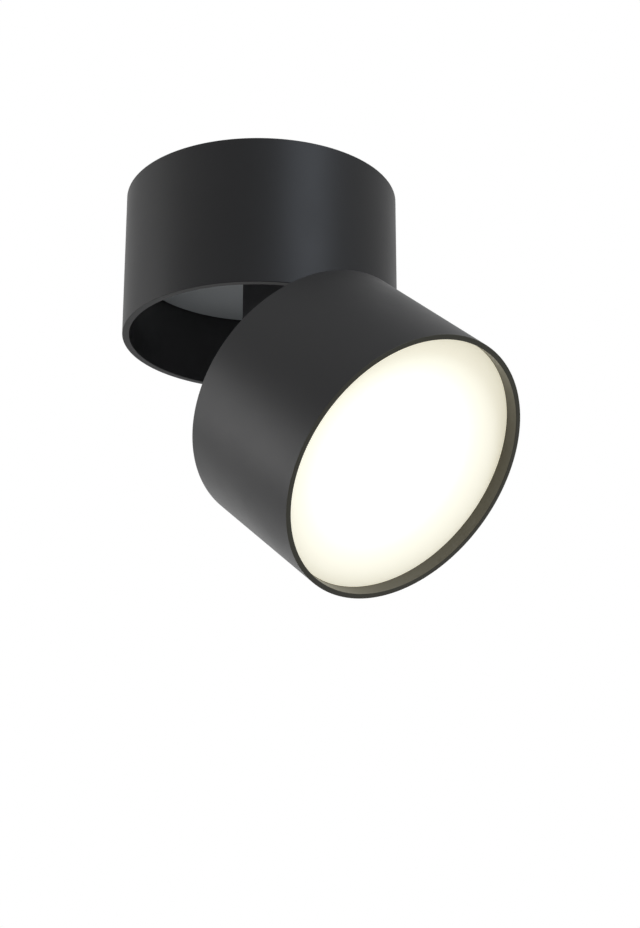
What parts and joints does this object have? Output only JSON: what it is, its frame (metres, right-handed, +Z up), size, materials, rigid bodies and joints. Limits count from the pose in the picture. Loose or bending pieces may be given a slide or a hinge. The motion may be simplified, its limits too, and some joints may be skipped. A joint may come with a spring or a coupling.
{
  "type": "ceiling spotlight",
  "caption": "Black ceiling spotlight: a round base cup holds a swivel and a cranked hinge that folds and tips a matching drum head with a recessed opal diffuser.",
  "frame": {"origin": "middle of the ceiling face, where the base and its ceiling plate meet the ceiling", "axes": "+Z up into the ceiling, +X the way the head tips out of the base, Y along the hinge pin"},
  "size_m": [0.1485, 0.1, 0.158],
  "materials": {
    "black_coat": "matte black powder coat",
    "grey_paint": "satin grey paint",
    "black_steel": "black coated steel",
    "zinc_steel": "zinc plated",
    "spring_steel": "satin",
    "white_plastic": "matte",
    "grey_plastic": "matte",
    "nylon": "satin",
    "black_rubber": "matte",
    "bare_aluminium": "satin",
    "board_white": "matte",
    "phosphor": "satin",
    "reflector_white": "satin",
    "opal_acrylic": "satin"
  },
  "bodies": {
    "base": {"base_housing": "black_coat", "ceiling_plate": "zinc_steel", "side_screws": "black_steel", "driver_case": "white_plastic", "driver_cover": "white_plastic", "driver_screws": "zinc_steel", "terminal_block": "grey_plastic", "terminal_screws": "zinc_steel", "lower_friction_ring": "nylon", "upper_friction_ring": "nylon", "stop_pin": "zinc_steel"},
    "turntable": {"turntable": "grey_paint", "hub_grommet": "black_rubber", "swivel_spring": "spring_steel", "swivel_nut": "zinc_steel", "hinge_bracket": "black_steel", "bracket_screws": "zinc_steel", "hinge_pin": "zinc_steel", "hinge_washers": "nylon", "hinge_spring": "spring_steel", "hinge_nut": "zinc_steel"},
    "head": {"hinge_arm": "black_coat", "arm_screws": "zinc_steel", "rear_cover": "black_coat", "cover_screws": "black_steel", "cable_grommet": "black_rubber", "head_housing": "black_coat", "heat_sink": "bare_aluminium", "sink_screws": "zinc_steel", "led_board": "board_white", "board_screws": "zinc_steel", "led_packages": "phosphor", "reflector": "reflector_white", "lens_gasket": "black_rubber", "diffuser": "opal_acrylic"}
  },
  "joints": [
    {"name": "swivel", "type": "hinge", "parent": "base", "child": "turntable", "pos_m": [0, 0, -0.0273], "axis": [0, 0, 1], "range_deg": [-175, 175]},
    {"name": "tilt", "type": "hinge", "parent": "turntable", "child": "head", "pos_m": [0.0405, 0, -0.0454], "axis": [0, -1, 0], "range_deg": [-50, 40]}
  ]
}
